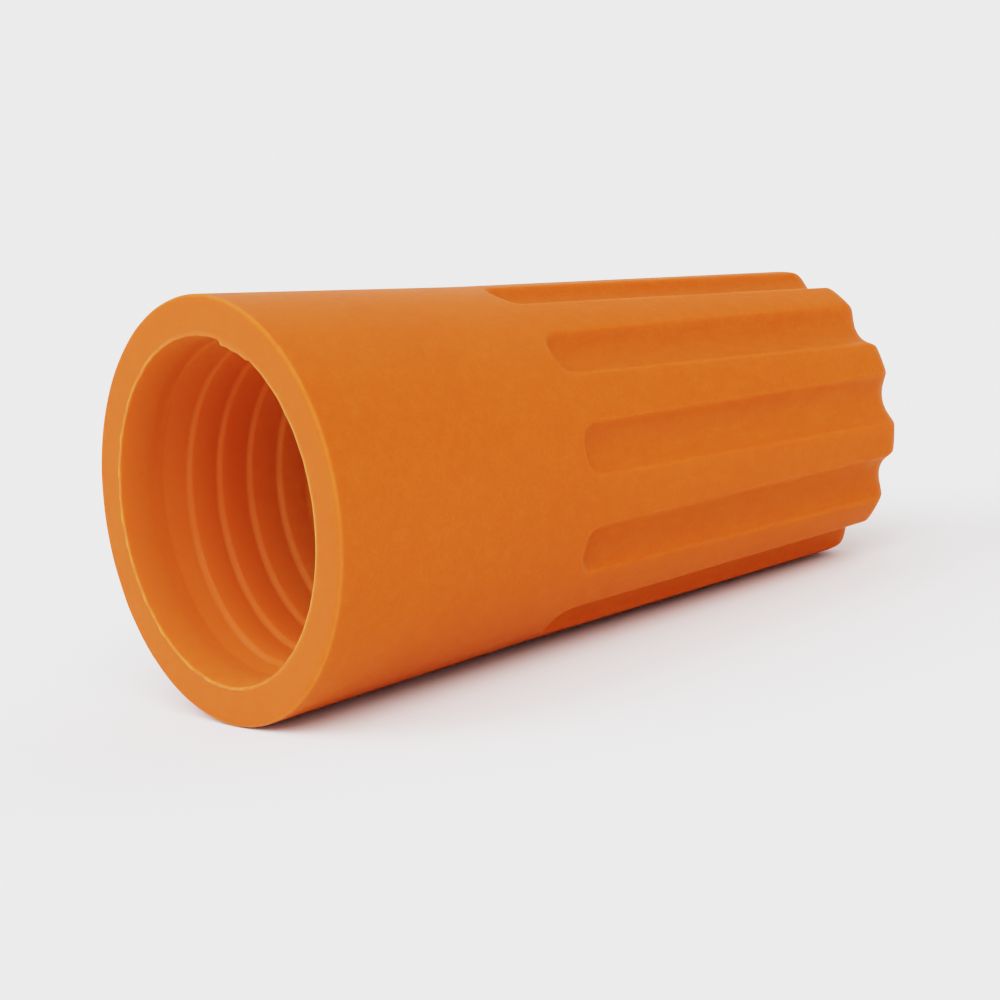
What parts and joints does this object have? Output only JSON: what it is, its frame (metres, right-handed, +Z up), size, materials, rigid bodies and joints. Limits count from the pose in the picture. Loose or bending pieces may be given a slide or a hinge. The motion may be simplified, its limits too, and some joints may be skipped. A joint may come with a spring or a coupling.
{
  "type": "twist wire connector",
  "caption": "Orange twist-on wire connector: a tapered plastic shell with a threaded mouth and fluted grip, closed at one end, lined with a conical square-wire coil.",
  "frame": {"origin": "on the table, below the middle of the connector as it lies on its side", "axes": "+X from the mouth to the closed end, along the connector, whose own axis dips 4.5 degrees towards the closed end; +Z up from the table; +Y across the connector"},
  "size_m": [0.022, 0.0118, 0.0117],
  "materials": {
    "orange_plastic": "satin moulded polypropylene",
    "plated_steel": "bright zinc-plated wire"
  },
  "bodies": {
    "root": {"insulating_shell": "orange_plastic", "wire_spring": "plated_steel"}
  },
  "joints": []
}
